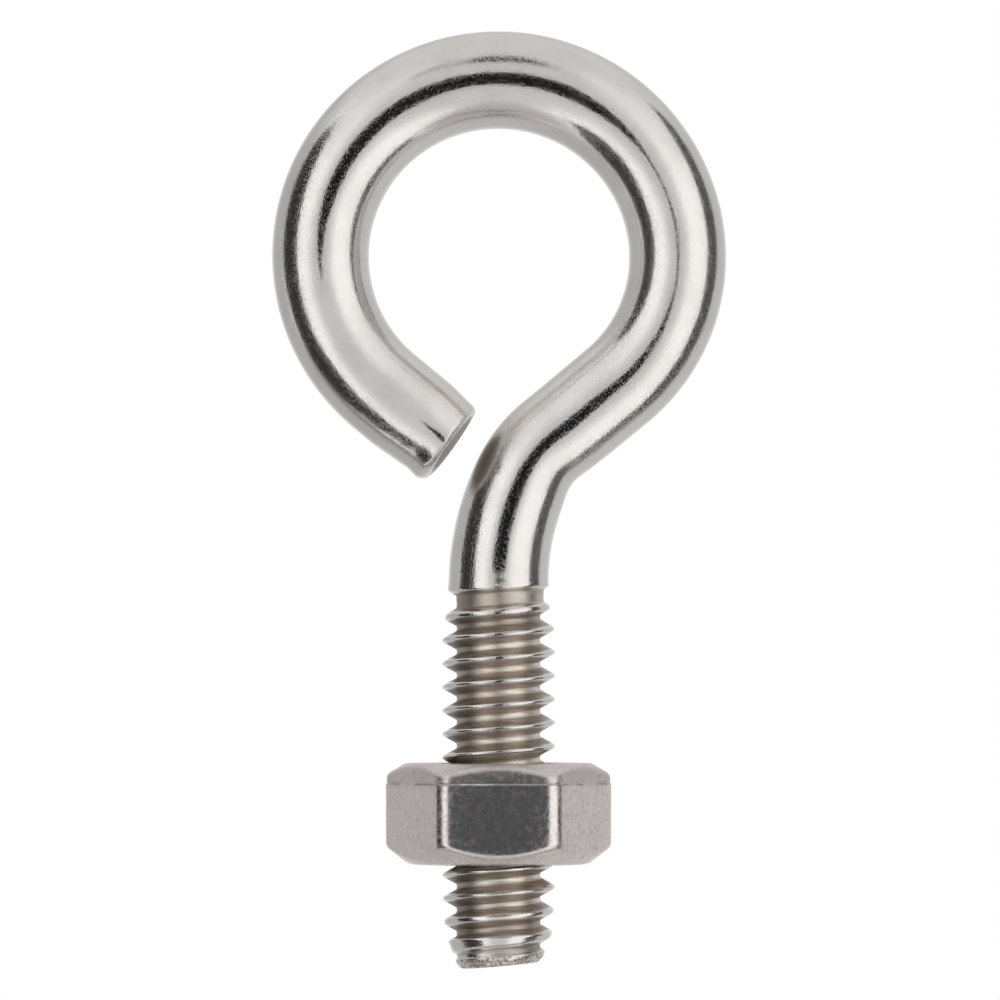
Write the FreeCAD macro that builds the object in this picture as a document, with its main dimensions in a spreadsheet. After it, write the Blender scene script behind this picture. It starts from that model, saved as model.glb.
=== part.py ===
import FreeCAD, Part
import math
import os
import Sketcher

# Bent-wire eye bolt with a rolled 1/4-20 UNC thread, and the hex nut on it. Millimetres.
#
# Frame: the origin is at the tip, on the shank's axis. +Z runs up the shank to the eye,
# +X is the side that the neck swings out to, and the eye lies in the XZ plane.

PARTS_FOLDER = "parts"

# Driving dimensions: alias, value in millimetres, degrees or turns, and what it is.
SIZES = [
    ("wire_diameter", 5.3, "round wire that the bolt is bent from"),
    ("shank_length", 20.8, "tip to the start of the neck's bend"),
    ("neck_radius", 13.5, "wire centreline, first easy bend of the neck"),
    ("neck_angle", 24.2, "degrees turned by that bend"),
    ("throat_radius", 6.7, "wire centreline, tight bend that follows it"),
    ("throat_angle", 26.2, "degrees turned by that bend"),
    ("leg_length", 4.4, "straight run from the throat into the eye"),
    ("eye_right_radius", 9.07, "wire centreline, lower right of the eye"),
    ("eye_right_angle", 62.3, "degrees turned there"),
    ("eye_top_radius", 9.74, "wire centreline over the top of the eye"),
    ("eye_top_angle", 110.3, "degrees turned there"),
    ("eye_left_radius", 9.5, "wire centreline, left and lower left of the eye"),
    ("eye_left_angle", 108.1, "degrees turned there"),
    ("tail_length", 4.7, "straight run from the eye to the sheared end"),
    ("tail_spare", 0.8, "wire beyond the shear, which is cut away"),
    ("shear_skew", 4.0, "degrees between the shear and a square cut, in the eye's plane"),
    ("shear_tilt", 5.0, "degrees that the sheared face looks towards -Y"),
    ("shear_rim", 0.25, "rounding of the sheared end's rim"),
    ("thread_pitch", 1.27, "20 threads to the inch"),
    ("thread_major", 6.1, "diameter over the crests"),
    ("thread_minor", 4.52, "diameter at the roots"),
    ("thread_flank", 30.0, "degrees between a flank and a plane across the axis"),
    ("root_flat", 0.24, "width of the groove's floor"),
    ("groove_overcut", 0.05, "how far the cutter reaches outside the crests"),
    ("thread_start", -1.0, "turns above the tip where the groove's full depth starts"),
    ("thread_turns", 16.5, "turns of groove at full depth"),
    ("runout_turns", 0.8, "turns over which the groove fades into the wire"),
    ("runout_cone", 24.0, "degrees, cone that the fading groove climbs"),
    ("band_diameter", 4.72, "shallow band pressed round the wire where the thread ends"),
    ("band_foot", 19.8, "height of the band's lower edge"),
    ("band_top", 20.5, "height of the band's upper edge"),
    ("band_shoulder", 0.3, "rise of the band's two edges out to the crest diameter"),
    ("point_diameter", 4.3, "end face at the tip"),
    ("point_shoulder_diameter", 5.76, "where the point's short taper ends"),
    ("point_shoulder_height", 1.9, "height of that shoulder"),
    ("point_length", 4.2, "height where the crests reach full diameter"),
    ("crest_fade_start", 18.2, "height where the crests start to run down to the wire"),
    ("crest_fade_end", 20.2, "height where they have run down to the wire"),
    ("point_overlength", 0.5, "blank below the tip, which the sawn tip removes"),
    ("point_slant", 5.0, "degrees that the sawn tip is off square"),
    ("point_rim", 0.25, "rounding of the tip's rim"),
    ("cutter_side", 6.2, "side of the square cutters at the tip and the shear"),
    ("cutter_depth", 1.3, "depth of those cutters, short of the neck beside the shear"),
    ("nut_height", 5.66, "underside of the nut above the tip, as it is screwed on"),
    ("nut_thickness", 5.47, "between the nut's two faces"),
    ("nut_across_flats", 10.88, "main block of the nut"),
    ("nut_top_across_flats", 10.8, "block above the forming die's parting line"),
    ("nut_top_depth", 1.05, "parting line below the top face"),
    ("nut_corner_radius", 0.85, "rounding of the six vertical corners"),
    ("nut_top_face", 10.1, "outer diameter of the flat ring on top"),
    ("nut_top_chamfer", 30.0, "degrees, chamfer of the top corners"),
    ("nut_base_face", 9.7, "outer diameter of the flat ring on the underside"),
    ("nut_base_chamfer", 38.0, "degrees, chamfer of the lower corners"),
    ("nut_cutter_reach", 8.0, "radius that the chamfer cutters reach"),
    ("nut_minor", 5.15, "bore inside the nut's thread"),
    ("nut_major", 6.4, "diameter at the roots of the nut's thread"),
    ("nut_mouth", 6.7, "countersinks at the bore's two mouths"),
    ("nut_root_flat", 0.126, "width of the nut's groove at its roots"),
    ("nut_groove_undercut", 0.1, "how far the nut's cutter reaches inside its bore"),
    ("nut_groove_start", 2.5, "turns above the tip, half a turn out of step with the bolt"),
    ("nut_groove_turns", 7.5, "turns of groove, past both faces of the nut"),
]

# Numbers that stand for the points of a line or arc, and for a sketch's own axes.
START = 1
END = 2
CENTRE = 3
LEVEL_AXIS = -1
UPRIGHT_AXIS = -2

LEFT = 1
RIGHT = -1


# ---- spreadsheet and sketches ----

def make_sheet(doc):
    """Write the driving dimensions to a spreadsheet, one aliased cell each."""
    sheet = doc.addObject("Spreadsheet::Sheet", "Sizes")
    for row, (alias, value, meaning) in enumerate(SIZES, start=1):
        sheet.set("A%d" % row, alias)
        sheet.set("B%d" % row, str(value))
        sheet.set("C%d" % row, meaning)
        sheet.setAlias("B%d" % row, alias)
    doc.recompute()
    return sheet


def number(sheet, expression):
    """The value that an expression over the sheet has now."""
    return float(sheet.evalExpression(expression))


def add_sketch(body, name, role):
    """A sketch on one of the body's own origin planes."""
    plane = next(one for one in body.Origin.OriginFeatures if one.Role == role)
    sketch = body.newObject("Sketcher::SketchObject", name)
    sketch.AttachmentSupport = [(plane, "")]
    sketch.MapMode = "FlatFace"
    return sketch


def bind(sketch, kind, subject, expression, name):
    """Add a named dimension to a sketch and drive it from the sheet."""
    index = sketch.addConstraint(Sketcher.Constraint(kind, *subject))
    sketch.renameConstraint(index, name)
    sketch.setExpression("Constraints." + name, expression)


def place(sketch, line, letter, value, expression):
    """Fix one coordinate of a line's start point, on the axis itself where it is zero."""
    if expression == "0":
        axis = UPRIGHT_AXIS if letter == "X" else LEVEL_AXIS
        sketch.addConstraint(Sketcher.Constraint("PointOnObject", line, START, axis))
        return
    name = "corner_%d_%s" % (line, letter.lower())
    bind(sketch, "Distance" + letter, (line, START, value), expression, name)


def add_polygon(sketch, sheet, corners):
    """Closed polygon. Each corner is a pair of expressions: across and up in the sketch."""
    points = [FreeCAD.Vector(number(sheet, x), number(sheet, y), 0) for x, y in corners]
    first = sketch.GeometryCount
    count = len(points)
    for index in range(count):
        end = points[(index + 1) % count]
        sketch.addGeometry(Part.LineSegment(points[index], end), False)
    for index, (across, up) in enumerate(corners):
        line = first + index
        following = first + (index + 1) % count
        sketch.addConstraint(Sketcher.Constraint("Coincident", line, END, following, START))
        place(sketch, line, "X", points[index].x, across)
        place(sketch, line, "Y", points[index].y, up)


def add_profile(body, sheet, name, corners):
    """Sketch in the XZ plane that holds one polygon of radius and height."""
    sketch = add_sketch(body, name, "XZ_Plane")
    add_polygon(sketch, sheet, corners)
    return sketch


def turn_profile(body, kind, name, sketch):
    """Revolve a profile about the Z axis, as added or removed material."""
    feature = body.newObject("PartDesign::" + kind, name)
    feature.Profile = sketch
    feature.ReferenceAxis = (sketch, ["V_Axis"])
    feature.Angle = 360.0
    return feature


def cut_helix(body, name, sketch, turns, cone="0"):
    """Right-hand groove that climbs one pitch a turn from its profile."""
    helix = body.newObject("PartDesign::SubtractiveHelix", name)
    helix.Profile = sketch
    helix.ReferenceAxis = (sketch, ["V_Axis"])
    helix.Mode = "pitch-turns-angle"
    helix.setExpression("Pitch", "Sizes.thread_pitch")
    helix.setExpression("Turns", turns)
    helix.setExpression("Angle", cone)
    return helix


# ---- the bent wire's route ----

class Route:
    """A chain of tangent lines and arcs in a sketch, each driven from the sheet."""

    def __init__(self, sketch, sheet, point, heading):
        self.sketch = sketch
        self.sheet = sheet
        self.point = point
        self.heading = heading
        self.last = None

    def join(self, index, entry, leave):
        """Make a new piece tangent to the one before it."""
        if self.last is not None:
            self.sketch.addConstraint(Sketcher.Constraint("Tangent", *self.last, index, entry))
        self.last = (index, leave)

    def line(self, name, expression):
        length = number(self.sheet, expression)
        end = self.point + direction(self.heading) * length
        index = self.sketch.addGeometry(Part.LineSegment(self.point, end), False)
        self.join(index, START, END)
        bind(self.sketch, "Distance", (index, length), expression, name)
        self.point = end

    def arc(self, name, side):
        """Bend named in the sheet by its radius and angle, to the LEFT or to the RIGHT."""
        radius = number(self.sheet, "Sizes.%s_radius" % name)
        turn = math.radians(number(self.sheet, "Sizes.%s_angle" % name))
        to_centre = self.heading + side * math.pi / 2
        centre = self.point + direction(to_centre) * radius
        entry_angle = to_centre + math.pi
        leave_angle = entry_angle + side * turn
        circle = Part.Circle(centre, FreeCAD.Vector(0, 0, 1), radius)
        ends = sorted((entry_angle, leave_angle))
        index = self.sketch.addGeometry(Part.ArcOfCircle(circle, *ends), False)
        if side == LEFT:
            self.join(index, START, END)
        else:
            self.join(index, END, START)
        bind(self.sketch, "Radius", (index, radius), "Sizes.%s_radius" % name, name + "_radius")
        bind(self.sketch, "Angle", (index, turn), "Sizes.%s_angle * 1deg" % name, name + "_angle")
        self.point = centre + direction(leave_angle) * radius
        self.heading = self.heading + side * turn


def direction(angle):
    return FreeCAD.Vector(math.cos(angle), math.sin(angle), 0)


def lay_route(sketch, sheet):
    """Centreline of the wire: up the shank, neck, throat, leg, round the eye, tail.

    Returns the point where the wire is sheared and its heading there, in the XZ plane.
    """
    start = FreeCAD.Vector(0, number(sheet, "Sizes.crest_fade_end"), 0)
    route = Route(sketch, sheet, start, math.pi / 2)
    route.line("rise", "Sizes.shank_length - Sizes.crest_fade_end")
    sketch.addConstraint(Sketcher.Constraint("PointOnObject", 0, START, UPRIGHT_AXIS))
    sketch.addConstraint(Sketcher.Constraint("Vertical", 0))
    bind(sketch, "DistanceY", (0, START, start.y), "Sizes.crest_fade_end", "rise_foot")
    route.arc("neck", RIGHT)
    route.arc("throat", RIGHT)
    route.line("leg", "Sizes.leg_length")
    route.arc("eye_right", LEFT)
    route.arc("eye_top", LEFT)
    route.arc("eye_left", LEFT)
    route.line("tail", "Sizes.tail_length")
    shear_point = route.point
    shear_heading = route.heading
    route.line("spare", "Sizes.tail_spare")
    return shear_point, shear_heading


# ---- the eye bolt ----

def add_shank(body, sheet):
    """Shank before its groove is rolled: point, crest cylinder, run down to the wire."""
    profile = add_profile(body, sheet, "ShankProfile", [
        ("0", "-Sizes.point_overlength"),
        ("Sizes.point_diameter / 2", "-Sizes.point_overlength"),
        ("Sizes.point_diameter / 2", "0"),
        ("Sizes.point_shoulder_diameter / 2", "Sizes.point_shoulder_height"),
        ("Sizes.thread_major / 2", "Sizes.point_length"),
        ("Sizes.thread_major / 2", "Sizes.crest_fade_start"),
        ("Sizes.wire_diameter / 2", "Sizes.crest_fade_end"),
        ("0", "Sizes.crest_fade_end"),
    ])
    return turn_profile(body, "Revolution", "Shank", profile)


def add_wire(body, sheet):
    """The wire above the thread, swept along its bends. Returns where it is sheared."""
    section = add_sketch(body, "WireSection", "XY_Plane")
    section.setExpression("AttachmentOffset.Base.z", "Sizes.crest_fade_end")
    diameter = number(sheet, "Sizes.wire_diameter")
    circle = Part.Circle(FreeCAD.Vector(0, 0, 0), FreeCAD.Vector(0, 0, 1), diameter / 2)
    section.addGeometry(circle, False)
    section.addConstraint(Sketcher.Constraint("Coincident", 0, CENTRE, LEVEL_AXIS, START))
    bind(section, "Diameter", (0, diameter), "Sizes.wire_diameter", "wire_diameter")
    route = add_sketch(body, "WireRoute", "XZ_Plane")
    shear = lay_route(route, sheet)
    wire = body.newObject("PartDesign::AdditivePipe", "Wire")
    wire.Profile = section
    wire.Spine = (route, [])
    return shear


def cut_beyond(body, sheet, name, point, outward):
    """Cut a plane end. Point and outward normal are in the XZ plane's own sketch frame."""
    sketch = add_sketch(body, name + "Plane", "XZ_Plane")
    turn = FreeCAD.Rotation(FreeCAD.Vector(0, 0, 1), outward)
    sketch.AttachmentOffset = FreeCAD.Placement(point, turn)
    half = "Sizes.cutter_side / 2"
    add_polygon(sketch, sheet, [
        ("-" + half, "-" + half),
        (half, "-" + half),
        (half, half),
        ("-" + half, half),
    ])
    cut = body.newObject("PartDesign::Pocket", name)
    cut.Profile = sketch
    cut.setExpression("Length", "Sizes.cutter_depth")
    cut.Reversed = True
    return cut


def round_rim(doc, body, name, point, radius):
    """Round the rim of the flat face whose middle is nearest to a point."""
    doc.recompute()
    base = body.Tip
    flats = [face for face in base.Shape.Faces if isinstance(face.Surface, Part.Plane)]
    face = min(flats, key=lambda flat: (flat.CenterOfMass - point).Length)
    rim = []
    for index, edge in enumerate(base.Shape.Edges, start=1):
        if any(edge.isSame(side) for side in face.Edges):
            rim.append("Edge%d" % index)
    fillet = body.newObject("PartDesign::Fillet", name)
    fillet.Base = (base, rim)
    fillet.setExpression("Radius", radius)
    return fillet


def bolt_groove_profile(body, sheet, name, height):
    """Section of the thread groove: a flat floor and two flanks that open outwards."""
    floor = "Sizes.thread_minor / 2"
    mouth = "(Sizes.thread_major / 2 + Sizes.groove_overcut)"
    depth = "(Sizes.thread_major / 2 + Sizes.groove_overcut - Sizes.thread_minor / 2)"
    half_floor = "Sizes.root_flat / 2"
    half_mouth = "(%s + %s * tan(Sizes.thread_flank))" % (half_floor, depth)
    return add_profile(body, sheet, name, [
        (floor, "%s - %s" % (height, half_floor)),
        (mouth, "%s - %s" % (height, half_mouth)),
        (mouth, "%s + %s" % (height, half_mouth)),
        (floor, "%s + %s" % (height, half_floor)),
    ])


def add_runout_band(body, sheet):
    """The band at the top of the thread, which the last of the groove runs into."""
    floor = "Sizes.band_diameter / 2"
    reach = "Sizes.thread_major / 2"
    profile = add_profile(body, sheet, "RunoutBandProfile", [
        (floor, "Sizes.band_foot"),
        (reach, "Sizes.band_foot - Sizes.band_shoulder"),
        (reach, "Sizes.band_top + Sizes.band_shoulder"),
        (floor, "Sizes.band_top"),
    ])
    return turn_profile(body, "Groove", "RunoutBand", profile)


def make_eye_bolt(doc, sheet):
    body = doc.addObject("PartDesign::Body", "EyeBolt")
    body.Label = "eye_bolt"
    add_shank(body, sheet)
    shear_point, shear_heading = add_wire(body, sheet)

    skew = math.radians(number(sheet, "Sizes.shear_skew"))
    tilt = math.radians(number(sheet, "Sizes.shear_tilt"))
    shear_face = direction(shear_heading + skew) * math.cos(tilt)
    shear_face.z = math.sin(tilt)
    cut_beyond(body, sheet, "Shear", shear_point, shear_face)
    shear_middle = FreeCAD.Vector(shear_point.x, 0, shear_point.y)
    round_rim(doc, body, "ShearRim", shear_middle, "Sizes.shear_rim")

    slant = math.radians(number(sheet, "Sizes.point_slant"))
    tip_middle = number(sheet, "Sizes.point_diameter / 2") * math.tan(slant)
    tip_point = FreeCAD.Vector(0, tip_middle, 0)
    cut_beyond(body, sheet, "SawnTip", tip_point, direction(slant - math.pi / 2))
    round_rim(doc, body, "TipRim", FreeCAD.Vector(0, 0, 0), "Sizes.point_rim")

    add_runout_band(body, sheet)
    start = "Sizes.thread_start * Sizes.thread_pitch"
    top = "(Sizes.thread_start + Sizes.thread_turns) * Sizes.thread_pitch"
    groove = bolt_groove_profile(body, sheet, "GrooveProfile", start)
    cut_helix(body, "Groove", groove, "Sizes.thread_turns")
    runout = bolt_groove_profile(body, sheet, "RunoutProfile", top)
    # Turned half round, so that it starts where the full-depth groove's last half turn ends.
    runout.AttachmentOffset = FreeCAD.Placement(
        FreeCAD.Vector(0, 0, 0), FreeCAD.Rotation(FreeCAD.Vector(0, 1, 0), 180))
    cut_helix(body, "Runout", runout, "Sizes.runout_turns", "Sizes.runout_cone")
    return body


# ---- the nut ----

def add_hexagon(body, sheet, name, across_flats, base, height):
    """Hexagonal block with flats that face +Y and -Y."""
    sketch = add_sketch(body, name + "Outline", "XY_Plane")
    sketch.setExpression("AttachmentOffset.Base.z", base)
    corner = "%s / sqrt(3)" % across_flats
    half_side = "%s / sqrt(12)" % across_flats
    flat = "%s / 2" % across_flats
    add_polygon(sketch, sheet, [
        (corner, "0"),
        (half_side, flat),
        ("-" + half_side, flat),
        ("-" + corner, "0"),
        ("-" + half_side, "-" + flat),
        (half_side, "-" + flat),
    ])
    pad = body.newObject("PartDesign::Pad", name)
    pad.Profile = sketch
    pad.setExpression("Length", height)
    return pad


def round_upright_edges(doc, body, name, radius):
    doc.recompute()
    base = body.Tip
    upright = []
    for index, edge in enumerate(base.Shape.Edges, start=1):
        along = edge.tangentAt(edge.FirstParameter)
        if abs(along.z) > math.cos(math.radians(1)):
            upright.append("Edge%d" % index)
    fillet = body.newObject("PartDesign::Fillet", name)
    fillet.Base = (base, upright)
    fillet.setExpression("Radius", radius)
    return fillet


def chamfer_corners(body, sheet, name, face, angle, level, side):
    """Turn the six corners down to a cone that starts at the flat ring of one face.

    Side is + for the top face and - for the underside.
    """
    ring = "%s / 2" % face
    reach = "Sizes.nut_cutter_reach"
    drop = "(%s - %s) * tan(%s)" % (reach, ring, angle)
    inward = "-" if side == "+" else "+"
    clear = "%s %s Sizes.cutter_depth" % (level, side)
    profile = add_profile(body, sheet, name + "Profile", [
        (ring, level),
        (reach, "%s %s %s" % (level, inward, drop)),
        (reach, clear),
        (ring, clear),
    ])
    return turn_profile(body, "Groove", name, profile)


def add_bore(body, sheet, base, top):
    """Bore at the thread's minor diameter, countersunk at 45 degrees at both mouths."""
    mouth = "Sizes.nut_mouth / 2"
    wall = "Sizes.nut_minor / 2"
    sink = "(%s - %s)" % (mouth, wall)
    profile = add_profile(body, sheet, "BoreProfile", [
        ("0", base),
        (mouth, base),
        (wall, "%s + %s" % (base, sink)),
        (wall, "%s - %s" % (top, sink)),
        (mouth, top),
        ("0", top),
    ])
    return turn_profile(body, "Groove", "Bore", profile)


def nut_groove_profile(body, sheet):
    """Section of the nut's groove, which clears the bolt's ridge all round."""
    floor = "Sizes.nut_major / 2"
    mouth = "(Sizes.nut_minor / 2 - Sizes.nut_groove_undercut)"
    half_floor = "Sizes.nut_root_flat / 2"
    half_mouth = "(%s + (%s - %s) * tan(Sizes.thread_flank))" % (half_floor, floor, mouth)
    height = "Sizes.nut_groove_start * Sizes.thread_pitch"
    return add_profile(body, sheet, "NutGrooveProfile", [
        (mouth, "%s - %s" % (height, half_mouth)),
        (floor, "%s - %s" % (height, half_floor)),
        (floor, "%s + %s" % (height, half_floor)),
        (mouth, "%s + %s" % (height, half_mouth)),
    ])


def make_hex_nut(doc, sheet):
    body = doc.addObject("PartDesign::Body", "HexNut")
    body.Label = "hex_nut"
    base = "Sizes.nut_height"
    top = "(Sizes.nut_height + Sizes.nut_thickness)"
    parting = "(%s - Sizes.nut_top_depth)" % top
    main_height = "Sizes.nut_thickness - Sizes.nut_top_depth"
    add_hexagon(body, sheet, "MainBlock", "Sizes.nut_across_flats", base, main_height)
    add_hexagon(body, sheet, "TopBlock", "Sizes.nut_top_across_flats", parting,
                "Sizes.nut_top_depth")
    round_upright_edges(doc, body, "CornerRounds", "Sizes.nut_corner_radius")
    chamfer_corners(body, sheet, "TopChamfer", "Sizes.nut_top_face",
                    "Sizes.nut_top_chamfer", top, "+")
    chamfer_corners(body, sheet, "BaseChamfer", "Sizes.nut_base_face",
                    "Sizes.nut_base_chamfer", base, "-")
    add_bore(body, sheet, base, top)
    cut_helix(body, "NutGroove", nut_groove_profile(body, sheet), "Sizes.nut_groove_turns")
    return body


# ---- checks and export ----

def check_cuts(bodies):
    """Stop if a feature that removes material has removed none."""
    cutters = ("PartDesign::Pocket", "PartDesign::Groove", "PartDesign::SubtractiveHelix")
    for body in bodies:
        before = None
        for feature in body.Group:
            if not feature.TypeId.startswith("PartDesign::"):
                continue
            volume = feature.Shape.Volume
            if feature.TypeId in cutters and volume > before - 1e-3:
                raise RuntimeError("%s cuts nothing" % feature.Name)
            before = volume


def check_document(doc, bodies):
    """Stop if any object failed to recompute or any sub-part isn't one sound solid."""
    for one in doc.Objects:
        if "Invalid" in one.State or "Error" in one.State:
            raise RuntimeError("%s failed: %s" % (one.Name, one.State))
    for body in bodies:
        shape = body.Shape
        if shape.isNull() or not shape.isValid() or len(shape.Solids) != 1:
            raise RuntimeError("%s is not one sound solid" % body.Label)


def main():
    doc = FreeCAD.newDocument("EyeBoltAssembly")
    sheet = make_sheet(doc)
    bodies = [make_eye_bolt(doc, sheet), make_hex_nut(doc, sheet)]
    doc.recompute()
    check_document(doc, bodies)
    check_cuts(bodies)
    os.makedirs(PARTS_FOLDER, exist_ok=True)
    for body in bodies:
        body.Shape.exportStep(os.path.join(PARTS_FOLDER, body.Label + ".step"))
        print("%-10s %8.2f mm3" % (body.Label, body.Shape.Volume))


main()
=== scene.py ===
import math

import bmesh
import bpy
import numpy as np
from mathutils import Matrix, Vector


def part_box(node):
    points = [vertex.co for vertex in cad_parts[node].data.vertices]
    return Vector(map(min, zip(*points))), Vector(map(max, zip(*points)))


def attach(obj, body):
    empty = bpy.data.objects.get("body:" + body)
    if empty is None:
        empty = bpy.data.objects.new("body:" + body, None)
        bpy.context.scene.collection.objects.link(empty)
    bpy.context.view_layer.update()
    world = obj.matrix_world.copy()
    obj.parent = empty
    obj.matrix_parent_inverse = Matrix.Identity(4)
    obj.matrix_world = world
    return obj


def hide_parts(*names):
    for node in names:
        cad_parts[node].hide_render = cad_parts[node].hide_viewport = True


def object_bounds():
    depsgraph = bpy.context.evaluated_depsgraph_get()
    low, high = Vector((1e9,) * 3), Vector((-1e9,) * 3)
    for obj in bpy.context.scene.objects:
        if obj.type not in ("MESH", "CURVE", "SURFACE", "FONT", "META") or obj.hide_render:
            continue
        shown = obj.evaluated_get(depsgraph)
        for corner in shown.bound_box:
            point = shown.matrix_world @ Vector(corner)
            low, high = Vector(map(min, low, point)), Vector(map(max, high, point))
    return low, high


# A bent-wire eye bolt with a rolled 1/4-20 thread, and the hex nut screwed on it.
# The frame is the CAD model's: the tip is at the origin, +Z runs up the shank, the eye
# lies in the XZ plane, and the camera looks along +Y. Lengths here are in millimetres
# and become metres when a mesh or a material's relief is made. The camera's are in metres.

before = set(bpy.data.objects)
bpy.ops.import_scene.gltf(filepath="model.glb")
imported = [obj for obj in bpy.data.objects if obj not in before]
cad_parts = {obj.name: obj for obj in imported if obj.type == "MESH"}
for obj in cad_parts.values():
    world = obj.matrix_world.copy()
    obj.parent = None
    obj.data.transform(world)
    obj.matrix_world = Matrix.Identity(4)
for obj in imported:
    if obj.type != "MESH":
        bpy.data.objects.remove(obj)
cad_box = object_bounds()

MM = 0.001
FULL_TURN = 2 * math.pi
DEGREES = 180 / math.pi

# ---- sizes of the bolt: the CAD model's, and the roundings and wear that it leaves out ----

WIRE_RADIUS = 2.65
# Runs of the wire's centreline from the tip: name, bend radius (None is straight), and
# its length, or the degrees it turns: left is plus, right is minus.
WIRE_RUNS = [
    ("shank", None, 20.8),
    ("neck", 13.5, -24.2),
    ("throat", 6.7, -26.2),
    ("leg", None, 4.4),
    ("eye_right", 9.07, 62.3),
    ("eye_top", 9.74, 110.3),
    ("eye_left", 9.5, 108.1),
    ("tail", None, 4.7),
]
# The sheared end: how its face is skewed and tilted, and the rounding of its rim, which is
# larger at the foot.
SHEAR_SKEW = math.radians(4)
SHEAR_TILT = math.radians(3.5)
SHEAR_RIM = 0.22
SHEAR_FOOT_RIM = 0.40
# The shears thin the tail on its inner and outer side. Each span is where the thinning
# comes in, counted from the wire's end. The pinch is close behind the foot.
TAIL_THIN_INSIDE = 0.17
TAIL_THIN_INSIDE_SPAN = (-2.3, 0.1)
TAIL_THIN_OUTSIDE = 0.14
TAIL_THIN_OUTSIDE_SPAN = (-3.6, -1.4)
TAIL_PINCH = 0.055
TAIL_PINCH_AT = -1.05
TAIL_PINCH_WIDTH = 0.4
# The sawn tip: its slant, its radius before the thread, its rim, and how far its burr reaches.
TIP_SLANT = math.radians(5)
TIP_RADIUS = 2.15
TIP_RIM = 0.25
TIP_BURR = 0.40

PITCH = 1.27
MAJOR_RADIUS = 3.05
MINOR_RADIUS = 2.26
HALF_ROOT_FLAT = 0.11
ROOT_ROUND = 0.04
CREST_ROUND = 0.11
BOLT_FLANK_SLOPE = math.tan(math.radians(28))
# The groove is at its full depth for so many turns, and then climbs out at this slope.
FULL_DEPTH_TURNS = 15.5
RUNOUT_CLIMB = math.tan(math.radians(24))
# The shallow band above the thread: radius and edges, and how they change across X.
BAND_RADIUS = 2.36
BAND_RADIUS_LEAN = 0.08
BAND_FOOT = 19.70
BAND_TOP = 20.36
BAND_LEAN = 0.18
BAND_SHOULDER = 1.7
# The dent on the inside of the throat's bend and the scuff on its outside: how far up the
# wire each is, and how far it reaches.
THROAT_DENT = 0.15
THROAT_DENT_AT = 28.3
THROAT_DENT_WIDTH = 1.5
SCUFF_AT = 27.4
SCUFF_WIDTH = 2.4
# Outside of the shank before its groove is rolled: height, radius.
BLANK_OUTLINE = [(0, TIP_RADIUS), (1.9, 2.88), (4.2, 3.05), (18.2, 3.05), (20.2, 2.65)]

# ---- sizes of the nut ----

# Half the width across its flats, and half that of the top block, which is above the
# parting line and this deep.
NUT_RADIUS = 5.44
NUT_TOP_RADIUS = 5.40
NUT_TOP_DEPTH = 1.05
NUT_CORNER_ROUND = 1.15
# How far the flats fall away towards the corners.
NUT_EDGE_FALL = 0.04
NUT_TOP_FACE = 5.05
NUT_TOP_SLOPE = math.tan(math.radians(30))
NUT_BASE_FACE = 4.85
NUT_BASE_SLOPE = math.tan(math.radians(38))
# The parting line is a nick that runs from below the top block's foot to above it.
NICK_DEPTH = 0.03
NICK_BELOW = 0.10
NICK_ABOVE = 0.06
NUT_BASE_DRAFT = 0.01
NUT_TOP_DRAFT = 0.03
NUT_MINOR = 2.575
NUT_MAJOR = 3.2
NUT_MOUTH = 3.35
NUT_HALF_ROOT_FLAT = 0.063
NUT_ROOT_ROUND = 0.03
NUT_CREST_ROUND = 0.04
NUT_FLANK_SLOPE = math.tan(math.radians(30))


# ---- meshes from grids ----

def make_piece(name, sheets, body, node):
    """One mesh from grids of points that meet edge to edge. It rides on a CAD body.

    Each sheet is a grid of points and the named values at those points.
    """
    mesh = bpy.data.meshes.new(name)
    points, faces, values = [], [], {}
    start = 0
    for grid, named in sheets:
        rows, columns = grid.shape[:2]
        index = start + np.arange(rows * columns).reshape(rows, columns)
        quads = np.stack([index[:-1, :-1], index[:-1, 1:], index[1:, 1:], index[1:, :-1]], -1)
        faces.append(quads.reshape(-1, 4))
        points.append(grid.reshape(-1, 3))
        for key, value in named.items():
            values.setdefault(key, []).append(value.reshape(rows * columns, -1))
        start += rows * columns
    faces = np.concatenate(faces)
    mesh.from_pydata((np.concatenate(points) * MM).tolist(), [], faces.tolist())
    for key, parts in values.items():
        numbers = np.concatenate(parts).astype(np.float32)
        single = numbers.shape[1] == 1
        kind, field = ("FLOAT", "value") if single else ("FLOAT_VECTOR", "vector")
        attribute = mesh.attributes.new(key, kind, "POINT")
        attribute.data.foreach_set(field, numbers.ravel())
    weld(mesh)
    piece = bpy.data.objects.new(name, mesh)
    bpy.context.scene.collection.objects.link(piece)
    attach(piece, body)
    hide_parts(node)
    return piece


def weld(mesh):
    """Join the edges where grids meet, and drop the faces that shrink to nothing there."""
    nearly_nothing = 0.0005 * MM
    work = bmesh.new()
    work.from_mesh(mesh)
    bmesh.ops.remove_doubles(work, verts=work.verts, dist=nearly_nothing)
    bmesh.ops.dissolve_degenerate(work, edges=work.edges, dist=nearly_nothing)
    bmesh.ops.recalc_face_normals(work, faces=work.faces)
    for face in work.faces:
        face.smooth = True
    work.to_mesh(mesh)
    work.free()


def smooth_min(a, b, blend):
    """The smaller of two surfaces, with the corner between them rounded."""
    share = np.clip(0.5 + 0.5 * (b - a) / blend, 0, 1)
    return b + (a - b) * share - blend * share * (1 - share)


def bump(value, middle, width):
    """A smooth hump of height 1."""
    return np.exp(-((value - middle) / width) ** 2)


def step(value, low, high):
    """Smooth rise from 0 at low to 1 at high."""
    share = np.clip((value - low) / (high - low), 0, 1)
    return share * share * (3 - 2 * share)


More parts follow.
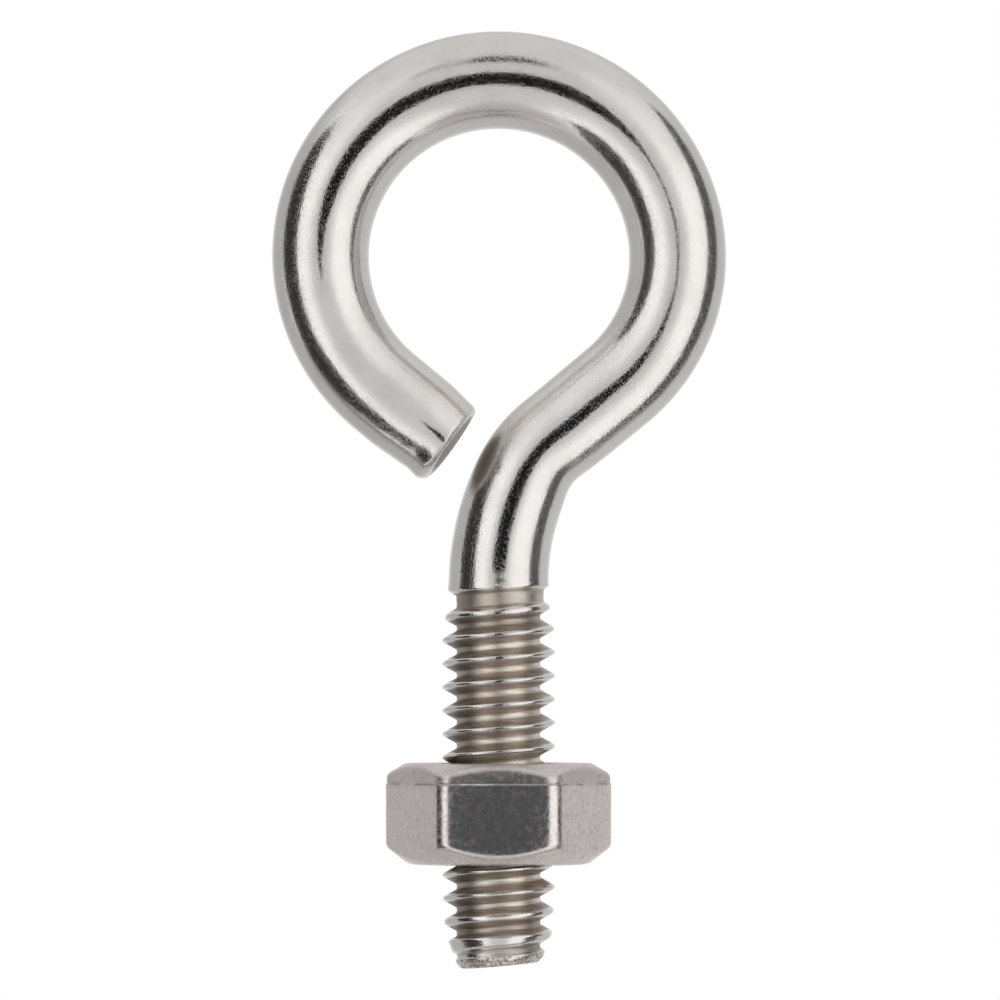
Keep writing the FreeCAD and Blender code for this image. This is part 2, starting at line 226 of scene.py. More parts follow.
def round_over(run, rim):
    """Where a skin that has run past the start of a rounded rim lies.

    Returns how far inside the side it is, and how far short of the end face.
    """
    turn = np.clip(run / rim, 0, math.pi / 2)
    inset = rim * (1 - np.cos(turn)) + np.maximum(run - rim * math.pi / 2, 0)
    return inset, rim * (1 - np.sin(turn))


# ---- the eye bolt ----

def wire_point(distance):
    """Centreline point (x, z) and heading at a distance from the tip along the wire."""
    x, z, heading, start = 0.0, 0.0, math.pi / 2, 0.0
    at_x, at_z, at_heading = (np.zeros_like(distance) for _ in range(3))
    for index, (_, radius, amount) in enumerate(WIRE_RUNS):
        length = run_length(radius, amount)
        past = distance - start
        here = past >= 0 if index else np.full(distance.shape, True)
        if radius is None:
            at_x[here] = (x + past * math.cos(heading))[here]
            at_z[here] = (z + past * math.sin(heading))[here]
            at_heading[here] = heading
            x += length * math.cos(heading)
            z += length * math.sin(heading)
        else:
            bend = math.copysign(1 / radius, amount)
            turned = heading + past * bend
            at_x[here] = (x + (np.sin(turned) - math.sin(heading)) / bend)[here]
            at_z[here] = (z - (np.cos(turned) - math.cos(heading)) / bend)[here]
            at_heading[here] = turned[here]
            leave = heading + length * bend
            x += (math.sin(leave) - math.sin(heading)) / bend
            z -= (math.cos(leave) - math.cos(heading)) / bend
            heading = leave
        start += length
    return at_x, at_z, at_heading


def run_length(radius, amount):
    """Length of a run, whose amount is a length if it is straight and an angle if it bends."""
    return amount if radius is None else radius * math.radians(abs(amount))


def run_starts():
    """How far from the tip each run of the wire starts, and where the last one ends."""
    starts, reached = {}, 0.0
    for name, radius, amount in WIRE_RUNS:
        starts[name] = reached
        reached += run_length(radius, amount)
    starts["end"] = reached
    return starts


RUN_STARTS = run_starts()
WIRE_LENGTH = RUN_STARTS["end"]


def groove_radius(turns_up, off_centre):
    """Radius of the groove so many turns up, off its middle. At the top it climbs out."""
    climb = np.maximum(turns_up - FULL_DEPTH_TURNS, 0) * PITCH * RUNOUT_CLIMB
    flank = np.maximum(off_centre - HALF_ROOT_FLAT, 0)
    rounded = np.sqrt(flank ** 2 + ROOT_ROUND ** 2) - ROOT_ROUND
    return MINOR_RADIUS + climb + rounded / BOLT_FLANK_SLOPE


def band_radius(along, around):
    """Radius of the shallow band that the last of the groove runs into."""
    lean = np.cos(around)
    above = np.maximum(along - BAND_TOP - BAND_LEAN * lean, 0)
    below = np.maximum(BAND_FOOT + BAND_LEAN * lean - along, 0)
    return BAND_RADIUS + BAND_RADIUS_LEAN * lean + BAND_SHOULDER * (above + below)


def rolled_radius(along, around):
    """Radius of the rolled surface: the groove's turn here, the one below, and the band."""
    turns = along / PITCH - around / FULL_TURN
    nearest = np.round(turns)
    surfaces = [band_radius(along, around)]
    for turn in (nearest, nearest - 1):
        off_centre = np.abs(turns - turn) * PITCH
        surfaces.append(groove_radius(turn + around / FULL_TURN, off_centre))
    return np.minimum.reduce(surfaces)


def drawn_wire_radius(along):
    """The wire is thickest above the thread and pulled a little thin in its bends."""
    throat = RUN_STARTS["throat"]
    right = RUN_STARTS["eye_right"]
    left = RUN_STARTS["eye_left"]
    stations = [
        (0, 2.65), (20.2, 2.70), (20.5, 2.745), (21.1, 2.70), (22.2, 2.69),
        (throat, 2.63), (throat + 4, 2.575), (right + 5, 2.62),
        (left - 8, 2.645), (left + 5, 2.64), (WIRE_LENGTH - 6, 2.59), (WIRE_LENGTH, 2.60),
    ]
    return np.interp(along, *zip(*stations))


def thinning(along, around):
    """How much the wire lost in radius where it was bent at the throat and sheared."""
    past_end = along - WIRE_LENGTH
    inner = np.maximum(-np.cos(around), 0)
    outer = np.maximum(np.cos(around), 0)
    lost = TAIL_THIN_INSIDE * inner * step(past_end, *TAIL_THIN_INSIDE_SPAN)
    lost = lost + TAIL_THIN_OUTSIDE * outer * step(past_end, *TAIL_THIN_OUTSIDE_SPAN)
    lost = lost + TAIL_PINCH * outer * bump(past_end, TAIL_PINCH_AT, TAIL_PINCH_WIDTH)
    return lost + THROAT_DENT * outer * bump(along, THROAT_DENT_AT, THROAT_DENT_WIDTH)


def bolt_radius(along, around):
    """Radius of the bolt's side before its ends are cut, and how deep in the thread it is."""
    crest = np.interp(along, *zip(*BLANK_OUTLINE))
    crest = np.where(along > BLANK_OUTLINE[-1][0], drawn_wire_radius(along), crest)
    radius = smooth_min(crest, rolled_radius(along, around), CREST_ROUND)
    depth = np.clip((crest - radius) / (MAJOR_RADIUS - MINOR_RADIUS), 0, 1)
    return radius - thinning(along, around), depth


def sawn_end(along, around):
    """How far past the tip's rim the skin has run, and the radius and level it has there."""
    slant = math.tan(TIP_SLANT)
    cut = TIP_RADIUS * slant * (1 + np.cos(around))
    run = cut - along + TIP_RIM
    inset, short = round_over(run, TIP_RIM)
    side = np.interp(np.maximum(along, cut), *zip(*BLANK_OUTLINE[:2]))
    side = np.minimum(side, bolt_radius(cut, around)[0])
    radius = np.maximum(side - inset, 0)
    return run, radius, TIP_RADIUS * slant + radius * slant * np.cos(around) + short


def sheared_end(side, along, around, rim):
    """How far past the sheared end's rim the skin has run, and its radius and level there."""
    lean = shear_offset(around)
    run = along - (WIRE_LENGTH - side * lean) + rim
    inset, short = round_over(run, rim)
    end_side = bolt_radius(np.full_like(along, WIRE_LENGTH), around)[0]
    radius = np.maximum(end_side - inset, 0)
    return run, radius, WIRE_LENGTH - radius * lean - short


def bolt_surface(along, around):
    """Points and named values of the bolt's skin, ends included.

    "drawn" is where each point of the side was in the wire before it was bent.
    """
    side, depth = bolt_radius(along, around)
    tip_run, tip_radius, tip_level = sawn_end(along, around)
    rim = SHEAR_RIM + SHEAR_FOOT_RIM * np.maximum(np.cos(around), 0) ** 2
    shear_run, shear_radius, shear_level = sheared_end(side, along, around, rim)
    ends = [tip_run > 0, shear_run > 0]
    radius = np.select(ends, [tip_radius, shear_radius], side)
    level = np.select(ends, [tip_level, shear_level], along)

    x, z, heading = wire_point(level)
    sideways = radius * np.cos(around)
    points = np.stack([
        x + sideways * np.sin(heading),
        radius * np.sin(around),
        z - sideways * np.cos(heading),
    ], -1)
    drawn = np.stack([WIRE_RADIUS * np.cos(around), WIRE_RADIUS * np.sin(around), along], -1)
    return points, {
        "drawn": drawn,
        "groove": depth,
        "sawn_tip": step(tip_run, -TIP_BURR, -TIP_BURR / 2),
        "sheared": step(shear_run, rim, 1.6 * rim + 0.5),
        "scuffed": bump(along, SCUFF_AT, SCUFF_WIDTH) * step(-np.cos(around), 0.1, 0.9),
    }


def shear_offset(around):
    """How far the sheared face leans back along the wire, for each millimetre of radius."""
    heading = wire_point(np.array([WIRE_LENGTH]))[2][0]
    normal = Vector((
        math.cos(heading + SHEAR_SKEW) * math.cos(SHEAR_TILT),
        -math.sin(SHEAR_TILT),
        math.sin(heading + SHEAR_SKEW) * math.cos(SHEAR_TILT),
    ))
    forward = normal.dot(Vector((math.cos(heading), 0, math.sin(heading))))
    sideways = normal.dot(Vector((math.sin(heading), 0, -math.cos(heading))))
    return (sideways * np.cos(around) + normal.y * np.sin(around)) / forward


def make_bolt():
    """The bolt as one skin. Each row climbs one turn of the thread as it goes round.

    The rows run past both ends of the wire, where the skin turns in over the end faces. They
    are finely spaced on the thread and at the ends, and coarsely on the bare wire.
    """
    columns, rows_a_turn = 128, 20
    fine, coarse = PITCH / rows_a_turn, 0.22
    overrun, thread_end, fine_tail = 4.2, 21.4, 1.2
    below = np.arange(-overrun, thread_end, fine)
    above = np.arange(below[-1] + coarse, WIRE_LENGTH - fine_tail, coarse)
    end = np.arange(above[-1] + fine, WIRE_LENGTH + overrun, fine)
    rows = np.concatenate([below, above, end])
    climb = rows[rows_a_turn:] - rows[:-rows_a_turn]
    around = np.linspace(0, FULL_TURN, columns + 1)
    along = rows[:-rows_a_turn, None] + climb[:, None] * around / FULL_TURN
    around = np.broadcast_to(around, along.shape)
    return make_piece("bent_wire_eye_bolt", [bolt_surface(along, around)],
                      "eye_bolt", "eye_bolt")


# ---- the nut ----

def hexagon_radius(around, apothem):
    """Radius of a hexagon with rounded corners. Two of its flats face +Y and -Y."""
    sector = math.pi / 3
    from_flat = (around - math.pi / 2 + sector / 2) % sector - sector / 2
    across = np.tan(from_flat) / math.tan(sector / 2)
    flat = (apothem - NUT_EDGE_FALL * across ** 6) / np.cos(from_flat)
    from_corner = sector / 2 - np.abs(from_flat)
    centre = (apothem - NUT_CORNER_ROUND) / math.cos(sector / 2)
    reach = np.maximum(NUT_CORNER_ROUND ** 2 - (centre * np.sin(from_corner)) ** 2, 0)
    corner = centre * np.cos(from_corner) + np.sqrt(reach)
    at_corner = centre * np.sin(from_corner) < NUT_CORNER_ROUND / 2
    return np.where(at_corner, np.minimum(corner, flat), flat)


def nut_outside(around, base, top):
    """Rows of (radius, height) round the nut's outside, from its lower mouth to its upper."""
    full = hexagon_radius(around, NUT_RADIUS)
    upper = hexagon_radius(around, NUT_TOP_RADIUS)
    parting = np.full_like(around, top - NUT_TOP_DEPTH)
    low_edge = base + (full - NUT_BASE_FACE) * NUT_BASE_SLOPE
    high_edge = top - (upper - NUT_TOP_FACE) * NUT_TOP_SLOPE
    base_ring = np.full_like(around, NUT_BASE_FACE)
    top_ring = np.full_like(around, NUT_TOP_FACE)
    mouth = np.full_like(around, NUT_MOUTH)
    level = np.full_like(around, base)
    lid = np.full_like(around, top)
    # Radius, height, rounding of the corner, rows from here to the next corner.
    corners = [
        (mouth, level, 0.0, 5),
        (base_ring, level, 0.35, 8),
        (full - NUT_BASE_DRAFT, low_edge, 0.24, 14),
        (full, parting - NICK_BELOW, 0.04, 3),
        (upper - NICK_DEPTH, parting, 0.01, 3),
        (upper, parting + NICK_ABOVE, 0.03, 6),
        (upper - NUT_TOP_DRAFT, high_edge, 0.26, 8),
        (top_ring, lid, 0.12, 8),
        (mouth, lid, 0.0, 0),
    ]
    return rounded_rows(corners)


def rounded_rows(corners):
    """Rows along an outline whose corners are rounded, from corners as nut_outside has them."""
    rows_a_corner = 5
    spots = [np.stack([radius, height], -1) for radius, height, _, _ in corners]
    rows = [spots[0]]
    leave = spots[0]
    for index in range(1, len(corners)):
        here = spots[index]
        rounding = corners[index][2]
        enter = cut_back(here, spots[index - 1], rounding)
        count = corners[index - 1][3]
        for number in range(1, count + 1):
            rows.append(leave + (enter - leave) * number / count)
        if rounding:
            leave = cut_back(here, spots[index + 1], rounding)
            for number in range(1, rows_a_corner + 1):
                share = number / rows_a_corner
                rows.append(enter * (1 - share) ** 2 + here * 2 * share * (1 - share)
                            + leave * share ** 2)
    return np.stack(rows)


def cut_back(corner, neighbour, rounding):
    """Where a corner's rounding meets the side to its neighbour, always before its middle."""
    side = neighbour - corner
    length = np.linalg.norm(side, axis=-1, keepdims=True)
    return corner + side / length * np.minimum(rounding, length * 0.45)


def nut_inside(along, around, base, top):
    """Internal thread and countersinks. Rows beyond a face stay on the mouth's rim.

    The nut's groove lies on the bolt's crest, half a turn from the bolt's groove.
    """
    turns = along / PITCH - around / FULL_TURN - 0.5
    off_centre = np.abs(turns - np.round(turns)) * PITCH
    flank = np.maximum(off_centre - NUT_HALF_ROOT_FLAT, 0)
    rounded = np.sqrt(flank ** 2 + NUT_ROOT_ROUND ** 2) - NUT_ROOT_ROUND
    groove = NUT_MAJOR - rounded / NUT_FLANK_SLOPE
    radius = -smooth_min(-np.full_like(along, NUT_MINOR), -groove, NUT_CREST_ROUND)
    height = np.clip(along, base, top)
    lead_in = NUT_MOUTH - np.minimum(height - base, top - height)
    radius = np.maximum(radius, lead_in)
    radius = np.where(height == along, radius, NUT_MOUTH)
    points = np.stack([radius * np.cos(around), radius * np.sin(around), height], -1)
    none = np.zeros_like(along)
    return points, {"top_block": none, "parting": none, "inside": none + 1}


def make_nut():
    """The nut as two skins, outside and inside, that meet at the mouths of the thread."""
    low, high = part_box("hex_nut")
    base, top = low.z / MM, high.z / MM
    columns, rows_a_turn = 240, 16
    around = np.linspace(0, FULL_TURN, columns + 1)

    rows = nut_outside(around, base, top)
    radius, height = rows[..., 0], rows[..., 1]
    turned_round = np.broadcast_to(around, radius.shape)
    points = np.stack([radius * np.cos(turned_round), radius * np.sin(turned_round), height], -1)
    outside = (points, outside_values(radius, height, turned_round, top - NUT_TOP_DEPTH))

    fine = PITCH / rows_a_turn
    start = np.arange(base - PITCH - fine, top + fine, fine)
    along = start[:, None] + PITCH * around / FULL_TURN
    inside = nut_inside(along, np.broadcast_to(around, along.shape), base, top)
    return make_piece("hexagon_nut", [outside, inside], "hex_nut", "hex_nut")


def outside_values(radius, height, around, parting):
    """Which of the nut's outside is the top block, and which is its parting line."""
    inset = hexagon_radius(around, NUT_RADIUS) - radius
    chamfered = step(inset, 0.02, 0.10)
    return {
        "top_block": step(height, parting - 0.02, parting + 0.02),
        "parting": bump(height, parting - 0.04, 0.07) * (1 - chamfered),
        "inside": np.zeros_like(radius),
    }


# ---- materials ----

class Shader:
    """Short ways to add nodes to one material's or world's tree."""

    def __init__(self, tree):
        self.tree = tree
        tree.nodes.clear()

    def add(self, kind, settings=None, **inputs):
        node = self.tree.nodes.new("ShaderNode" + kind)
        for key, value in (settings or {}).items():
            setattr(node, key, value)
        for key, value in inputs.items():
            self.plug(node.inputs[key.replace("_", " ")], value)
        return node

    def plug(self, socket, value):
        if isinstance(value, bpy.types.NodeSocket):
            self.tree.links.new(value, socket)
        else:
            socket.default_value = value

    def math(self, operation, first, second=0.0):
        node = self.add("Math", {"operation": operation})
        self.plug(node.inputs[0], first)
        self.plug(node.inputs[1], second)
        return node.outputs[0]

    def ramp(self, value, low, high, start=0.0, end=1.0, smooth=True):
        """Value remapped from low..high to start..end."""
        kind = "SMOOTHSTEP" if smooth else "LINEAR"
        node = self.add("MapRange", {"interpolation_type": kind})
        for key, number in zip(("Value", "From Min", "From Max", "To Min", "To Max"),
                               (value, low, high, start, end)):
            self.plug(node.inputs[key], number)
        return node.outputs[0]

    def mix(self, share, first, second):
        """Colour between first and second. The node's colour sockets are 6, 7 and output 2."""
        node = self.add("Mix", {"data_type": "RGBA"})
        self.plug(node.inputs[0], share)
        self.plug(node.inputs[6], first)
        self.plug(node.inputs[7], second)
        return node.outputs[2]

    def add_scaled(self, total, value, scale):
        """The total, plus the value times the scale."""
        return self.math("ADD", total, self.math("MULTIPLY", value, scale))

    def value(self, name):
        """A number stored on the mesh."""
        return self.add("Attribute", {"attribute_name": name}).outputs["Fac"]

    def place(self, name):
        """A vector stored on the mesh, or the point's own place in its object."""
        if name == "Object":
            return self.add("TexCoord").outputs["Object"]
        return self.add("Attribute", {"attribute_name": name}).outputs["Vector"]

    def parts(self, vector):
        """The x, y and z of a vector."""
        return self.add("SeparateXYZ", Vector=vector).outputs

    def stretched(self, vector, x, y, z):
        return self.add("Mapping", Vector=vector, Scale=(x, y, z)).outputs[0]

    def noise(self, vector, scale, detail=4.0, roughness=0.55):
        node = self.add("TexNoise", Vector=vector, Scale=scale, Detail=detail,
                        Roughness=roughness)
        return node.outputs[0]

    def relief(self, height, distance, strength=1.0, normal=None):
        """Surface normal tilted by a height whose full range is distance millimetres."""
        node = self.add("Bump", Height=height, Distance=distance * MM, Strength=strength)
        if normal is not None:
            self.plug(node.inputs["Normal"], normal)
        return node.outputs[0]


def new_material(name):
    material = bpy.data.materials.new(name)
    material.use_nodes = True
    return material, Shader(material.node_tree)


def finish_metal(shader, colour, roughness, normal):
    metal = shader.add("BsdfPrincipled", Metallic=1.0, Roughness=roughness, Normal=normal)
    shader.plug(metal.inputs["Base Color"], colour)
    output = shader.add("OutputMaterial")
    shader.tree.links.new(metal.outputs[0], output.inputs[0])


def grey(level, red=0.0, blue=0.0):
    """A linear colour near grey, with its red lifted and its blue lowered by a share."""
    return (level * (1 + red), level, level * (1 - blue), 1)


def wire_steel():
    """Tumbled stainless wire: bright, finely pitted along the draw, dull in the thread."""
    material, shader = new_material("tumbled_wire_steel")
    place = shader.place("Object")
    drawn = shader.place("drawn")
    groove = shader.value("groove")
    rolled = shader.noise(shader.stretched(drawn, 0.5, 0.5, 9.0), 1.0, 3.0)
    grains = shader.noise(place, 14000.0, 2.0)
    burrs = shader.ramp(shader.noise(place, 5000.0, 3.0), 0.36, 0.50)
    worn = shader.ramp(shader.noise(place, 420.0, 3.0), 0.35, 0.7)
    dull = shader.ramp(groove, 0.13, 0.40)
    sawn = shader.value("sawn_tip")
    sheared = shader.value("sheared")
    scuffed = shader.value("scuffed")

    bright = shader.mix(worn, grey(0.80, 0.035, 0.035), grey(0.75, 0.04, 0.04))
    colour = shader.mix(dull, bright, thread_colour(shader, drawn, groove, rolled))
    torn = shader.ramp(grains, 0.4, 0.6)
    torn = shader.mix(torn, grey(0.19, 0.12, 0.14), grey(0.34, 0.12, 0.14))
    colour = shader.mix(sheared, colour, torn)
    rough_sawn = shader.mix(burrs, grey(0.30, 0.12, 0.1), grey(0.74, 0.07, 0.07))
    colour = shader.mix(sawn, colour, rough_sawn)

    roughness = shader.ramp(worn, 0, 1, 0.06, 0.10)
    for spot, dulling in ((dull, 0.36), (sheared, 0.35), (sawn, 0.15), (scuffed, 0.22)):
        roughness = shader.add_scaled(roughness, spot, dulling)

    waves = shader.noise(place, 800.0, 2.0)
    streaks = shader.noise(shader.stretched(drawn, 6.5, 6.5, 2.2), 1.0, 3.0)
    specks = shader.ramp(shader.noise(drawn, 15.0, 1.0), 0.50, 0.72)
    normal = shader.relief(waves, 0.007)
    normal = shader.relief(streaks, 0.005, 1.0, normal)
    normal = shader.relief(grains, 0.003, 1.0, normal)
    normal = shader.relief(specks, 0.003, 1.0, normal)
    normal = shader.relief(rolled, 0.012, dull, normal)
    normal = shader.relief(burrs, 0.018, sawn, normal)
    finish_metal(shader, colour, roughness, normal)
    return material


def thread_colour(shader, drawn, groove, rolled):
    """Brown stain on the flanks, lighter at the roots, with painted shade on the -X side."""
    across, _, height = shader.parts(drawn)
    streaky = shader.ramp(rolled, 0.35, 0.65)
    flank = shader.mix(streaky, grey(0.40, 0.14, 0.12), grey(0.60, 0.12, 0.11))
    in_band = shader.ramp(height, 19.4, 19.8, 0.0, 0.8)
    flank = shader.mix(in_band, flank, grey(0.66, 0.10, 0.13))
    patchy = shader.ramp(rolled, 0.4, 0.6)
    root = shader.mix(patchy, grey(0.76, 0.12, 0.11), grey(1.0, 0.09, 0.10))
    colour = shader.mix(shader.ramp(groove, 0.86, 0.98), flank, root)
    # Painted shade: the thread is darker towards its -X side, where the grooves are in shade.
    painted_side_shade = shader.ramp(across, -2.1, -1.3, 0.55, 0.0)
    return shader.mix(painted_side_shade, colour, grey(0.22, 0.14, 0.12))


def nut_steel():
    """Forged and tumbled stainless nut: satin, with fine grain, scuffs and pits."""
    material, shader = new_material("satin_nut_steel")
    place = shader.place("Object")
    cloud = shader.noise(place, 700.0, 3.0)
    grains = shader.noise(place, 10000.0, 3.0)
    brushed = shader.noise(shader.stretched(place, 5.0, 5.0, 0.8), 1000.0, 4.0, 0.65)
    pits = shader.noise(place, 3000.0, 2.0)
    scuffs = shader.noise(place, 4500.0, 3.0)
    top_block = shader.value("top_block")

    grainy = shader.ramp(grains, 0.3, 0.7)
    colour = shader.mix(grainy, grey(0.75, 0.10, 0.03), grey(0.88, 0.09, 0.03))
    colour = shader.mix(shader.ramp(cloud, 0.35, 0.8, 0.0, 0.35), colour, grey(0.68, 0.11, 0.04))
    colour = shader.mix(shader.ramp(pits, 0.70, 0.78, 0.0, 0.7), colour, grey(0.20, 0.05, 0.05))
    darker_top = shader.math("MULTIPLY", top_block, 0.14)
    colour = shader.mix(darker_top, colour, grey(0.30, 0.10, 0.08))
    broken = shader.ramp(cloud, 0.40, 0.58, 0.25, 0.95)
    parting = shader.math("MULTIPLY", shader.value("parting"), broken)
    colour = shader.mix(parting, colour, grey(0.20, 0.16, 0.14))
    colour = shader.mix(shader.value("inside"), colour, grey(0.45, 0.09, 0.09))

    roughness = shader.ramp(brushed, 0.3, 0.7, 0.25, 0.20)
    roughness = shader.add_scaled(roughness, top_block, 0.10)
    roughness = shader.add_scaled(roughness, shader.ramp(grains, 0.45, 0.72), 0.08)
    roughness = shader.add_scaled(roughness, shader.ramp(scuffs, 0.38, 0.70), 0.19)

    normal = shader.relief(brushed, 0.0022)
    normal = shader.relief(grains, 0.003, 1.0, normal)
    normal = shader.relief(pits, 0.010, 0.6, normal)
    finish_metal(shader, colour, roughness, normal)
    return material


def paint(piece, material):
    piece.data.materials.clear()
    piece.data.materials.append(material)


# ---- studio ----

# Dark flags in the surroundings: the angle that each is placed by, its middle and half
# width, its level and half height, in degrees, and its brightness.
FLAGS = [
    ("leftward", 78.0, 21.5, -7, 47, 0.036),
    ("leftward", 61.0, 12.0, -36, 17, 0.036),
    ("rightward", 91.0, 16.0, -4, 50, 0.080),
    ("azimuth", 2.0, 12.0, 48, 7.0, 0.03),
    ("azimuth", -21.0, 4.0, 46, 5.0, 0.36),
]
# The side flags lean, by this much of a degree for each degree of elevation.
FLAG_LEAN = 0.18

# Dark strips of cloth that follow the wire: the first and last distance along it, the half
# width, how far each end takes to narrow, and the plane that the strip hangs in.
WIRE_SHADE_PLANE = -6.0
TAIL_SHADE_PLANE = -4.3
NUT_SHADE_PLANE = -9.0
WIRE_SHADES = {
    "throat_shade": (21.35, 41.0, 1.30, 0.35, 14.0, WIRE_SHADE_PLANE),
    "seam_shade": (38.5, 50.0, 0.22, 1.0, 1.0, WIRE_SHADE_PLANE),
    "eye_shade": (47.4, 73.4, 1.22, 6.0, 6.0, WIRE_SHADE_PLANE),
    "tail_shade": (83.2, 84.95, 0.5, 1.6, 0.15, TAIL_SHADE_PLANE),
    "thread_shade": (12.5, 21.0, 0.65, 0.5, 0.2, WIRE_SHADE_PLANE),
}
# Half the height of the nut's strip, and half its width.
NUT_SHADE_REACH = 4.1
NUT_SHADE_HALF_WIDTH = 4.3

FLOOR_LEVEL = -30
FLOOR_RADIUS = 500

# The camera, in metres: how far off it is, the width it sees there, where it aims, from the
# middle of the CAD model's box, and how steeply it looks up.
CAMERA_DISTANCE = 0.5
CAMERA_VIEW_WIDTH = 0.05417
CAMERA_AIM = Vector((0.0000511, 0.0, -0.0000245))
CAMERA_RISE = math.radians(1.0)


def add_flag(shader, light, angle, middle, half_width, elevation, level, half_height, brightness):
    """The light with a dark flag, whose outline is upright and rounded, in front of it."""
    sideways = shader.math("DIVIDE", shader.math("SUBTRACT", angle, middle), half_width)
    upward = shader.math("DIVIDE", shader.math("SUBTRACT", elevation, level), half_height)
    bulge = shader.math("ADD", shader.math("POWER", shader.math("ABSOLUTE", sideways), 2.0),
                        shader.math("POWER", shader.math("ABSOLUTE", upward), 6.0))
    share = shader.ramp(bulge, 0.80, 1.20, 1.0, 0.0)
    return shader.mix(share, light, grey(brightness, 0.03, 0.03))


def front_light(shader, aside, elevation):
    """Soft light from the front, with a brighter panel at each side and less from below."""
    front = shader.mix(shader.ramp(elevation, 50, 66), grey(0.64), grey(0.70))
    panel = shader.mix(shader.ramp(elevation, 12, 38), grey(1.10), grey(0.86))
    panel = shader.mix(shader.ramp(elevation, 40, 62), panel, grey(0.70))
    light = shader.mix(shader.ramp(aside, 13, 36), front, panel)
    from_below = shader.ramp(elevation, -66, -50, 1.0, 0.0)
    return shader.mix(from_below, light, grey(0.50))


def back_light(shader, x, y, elevation):
    """The pale wall behind the object, a little brighter to the right, above and far back."""
    light = shader.mix(shader.ramp(x, -0.5, 0.5, smooth=False), grey(0.49), grey(0.60))
    light = shader.mix(shader.ramp(elevation, 26, 48), light, grey(0.70))
    return shader.mix(shader.ramp(y, 0.80, 0.95), light, grey(0.75))


def make_studio():
    """Wrap-round soft light with dark flags. The camera itself sees plain white behind."""
    world = bpy.data.worlds.new("studio")
    world.use_nodes = True
    bpy.context.scene.world = world
    shader = Shader(world.node_tree)
    x, y, z = shader.parts(shader.add("TexCoord").outputs["Generated"])
    forward = shader.math("MULTIPLY", y, -1.0)
    azimuth = shader.math("MULTIPLY", shader.math("ARCTAN2", x, forward), DEGREES)
    elevation = shader.math("MULTIPLY", shader.math("ARCSINE", z), DEGREES)
    aside = shader.math("ABSOLUTE", azimuth)

    front = front_light(shader, aside, elevation)
    back = back_light(shader, x, y, elevation)
    light = shader.mix(shader.ramp(aside, 94, 108), front, back)
    # A dark seam low down at each side, where the front light and the wall behind meet.
    seam = shader.math("MULTIPLY", shader.ramp(y, -0.06, 0.04), shader.ramp(y, 0.14, 0.26, 1, 0))
    seam = shader.math("MULTIPLY", seam, shader.ramp(elevation, -30, -12, 1.0, 0.0))
    light = shader.mix(seam, light, grey(0.24, 0.10, 0.10))

    lean = shader.math("MULTIPLY", elevation, FLAG_LEAN)
    angles = {
        "azimuth": azimuth,
        "leftward": shader.math("MULTIPLY", shader.math("ADD", azimuth, lean), -1.0),
        "rightward": shader.math("SUBTRACT", azimuth, lean),
    }
    for side, middle, half_width, level, half_height, brightness in FLAGS:
        light = add_flag(shader, light, angles[side], middle, half_width,
                         elevation, level, half_height, brightness)

    seen = shader.add("LightPath").outputs["Is Camera Ray"]
    backdrop = shader.mix(seen, light, grey(1.0))
    background = shader.add("Background", Color=backdrop, Strength=1.0)
    output = shader.add("OutputWorld")
    shader.tree.links.new(background.outputs[0], output.inputs[0])


def make_shade(name, rows, plane, colour):
    """A dark cloth strip in front of the bolt, seen only in reflections.

    Each row is the strip's middle (x, z), its half width and the heading it runs in.
    """
    x, z, half, heading = (np.array(column, float) for column in zip(*rows))
    sideways = np.stack([np.sin(heading), -np.cos(heading)], -1) * half[:, None]
    middle = np.stack([x, z], -1)
    edges = np.concatenate([middle - sideways, middle + sideways])
    points = [(edge_x, plane, edge_z) for edge_x, edge_z in edges]
    count = len(rows)
    faces = [(i, i + 1, count + i + 1, count + i) for i in range(count - 1)]
    material, shader = new_material(name)
    dark = shader.add("Emission", Color=colour, Strength=1.0)
    output = shader.add("OutputMaterial")
    shader.tree.links.new(dark.outputs[0], output.inputs[0])
    shade = add_to_stage(name, points, faces, material)
    shade.visible_camera = False


def shade_the_wire(name, first, last, half_width, first_fade, last_fade, plane):
    """A strip that follows the wire between two distances and narrows at its ends."""
    along = np.linspace(first, last, 60)
    x, z, heading = wire_point(along)
    narrowed = step(along - first, -0.3 * first_fade, first_fade)
    narrowed = narrowed * step(last - along, -0.3 * last_fade, last_fade)
    rows = list(zip(x, z, half_width * narrowed, heading))
    make_shade(name, rows, plane, grey(0.013))


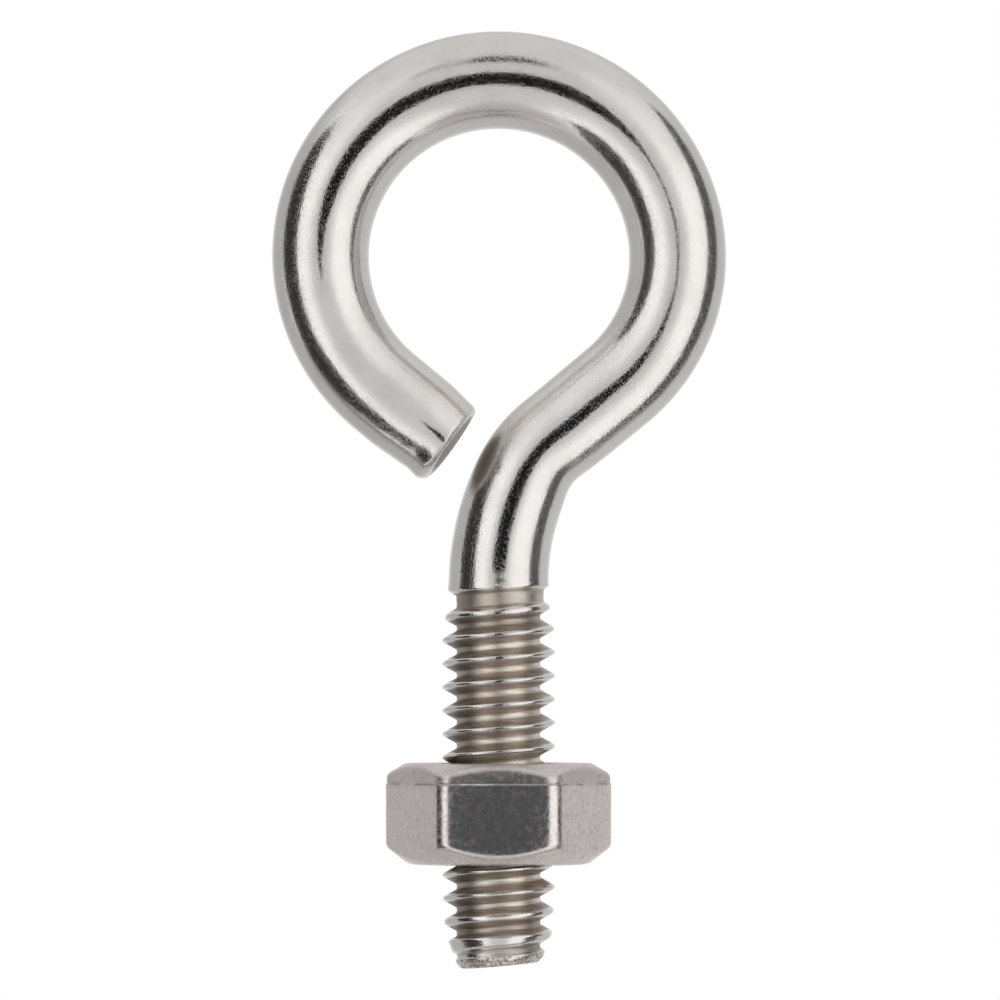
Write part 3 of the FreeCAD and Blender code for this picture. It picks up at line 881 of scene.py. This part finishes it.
def shade_the_nut():
    """The strip in front of the nut's front flat, which it makes dark."""
    low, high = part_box("hex_nut")
    middle = (low.z + high.z) / 2 / MM
    rows = []
    for turn in np.linspace(0, math.pi, 21):
        height = middle - NUT_SHADE_REACH * math.cos(turn)
        half_width = NUT_SHADE_HALF_WIDTH * math.sin(turn) ** 0.5
        rows.append((0.0, height, half_width, math.pi / 2))
    make_shade("nut_shade", rows, NUT_SHADE_PLANE, grey(0.085, -0.08, -0.06))


def add_to_stage(name, points, faces, material):
    """A painted mesh, which is not attached to any of the object's bodies."""
    mesh = bpy.data.meshes.new(name)
    mesh.from_pydata((np.array(points) * MM).tolist(), [], faces)
    piece = bpy.data.objects.new(name, mesh)
    bpy.context.scene.collection.objects.link(piece)
    paint(piece, material)
    return piece


def make_floor():
    """A pale matt disc under the object, which reflections don't show."""
    material, shader = new_material("pale_floor")
    speckle = shader.noise(shader.place("Object"), 60.0, 3.0)
    matt = shader.add("BsdfDiffuse", Color=shader.mix(speckle, grey(0.86), grey(0.90)))
    output = shader.add("OutputMaterial")
    shader.tree.links.new(matt.outputs[0], output.inputs[0])
    turns = np.linspace(0, FULL_TURN, 96, endpoint=False)
    points = [(FLOOR_RADIUS * math.cos(turn), FLOOR_RADIUS * math.sin(turn), FLOOR_LEVEL)
              for turn in turns]
    floor = add_to_stage("floor", points, [list(range(len(points)))], material)
    floor.visible_glossy = False


def make_camera():
    """Long lens near the level of the object's middle, looking up at it by one degree."""
    low, high = cad_box
    camera = bpy.data.objects.new("camera", bpy.data.cameras.new("camera"))
    bpy.context.scene.collection.objects.link(camera)
    bpy.context.scene.camera = camera
    towards = Vector((0, math.cos(CAMERA_RISE), math.sin(CAMERA_RISE)))
    camera.location = (low + high) / 2 + CAMERA_AIM - towards * CAMERA_DISTANCE
    camera.rotation_mode = "QUATERNION"
    camera.rotation_quaternion = towards.to_track_quat("-Z", "Y")
    camera.data.sensor_width = 36.0
    camera.data.lens = camera.data.sensor_width * CAMERA_DISTANCE / CAMERA_VIEW_WIDTH
    camera.data.clip_start = 0.01
    camera.data.clip_end = 10.0


def main():
    paint(make_bolt(), wire_steel())
    paint(make_nut(), nut_steel())
    make_studio()
    for name, strip in WIRE_SHADES.items():
        shade_the_wire(name, *strip)
    shade_the_nut()
    make_floor()
    make_camera()
    bpy.context.scene.view_settings.view_transform = "Standard"


main()
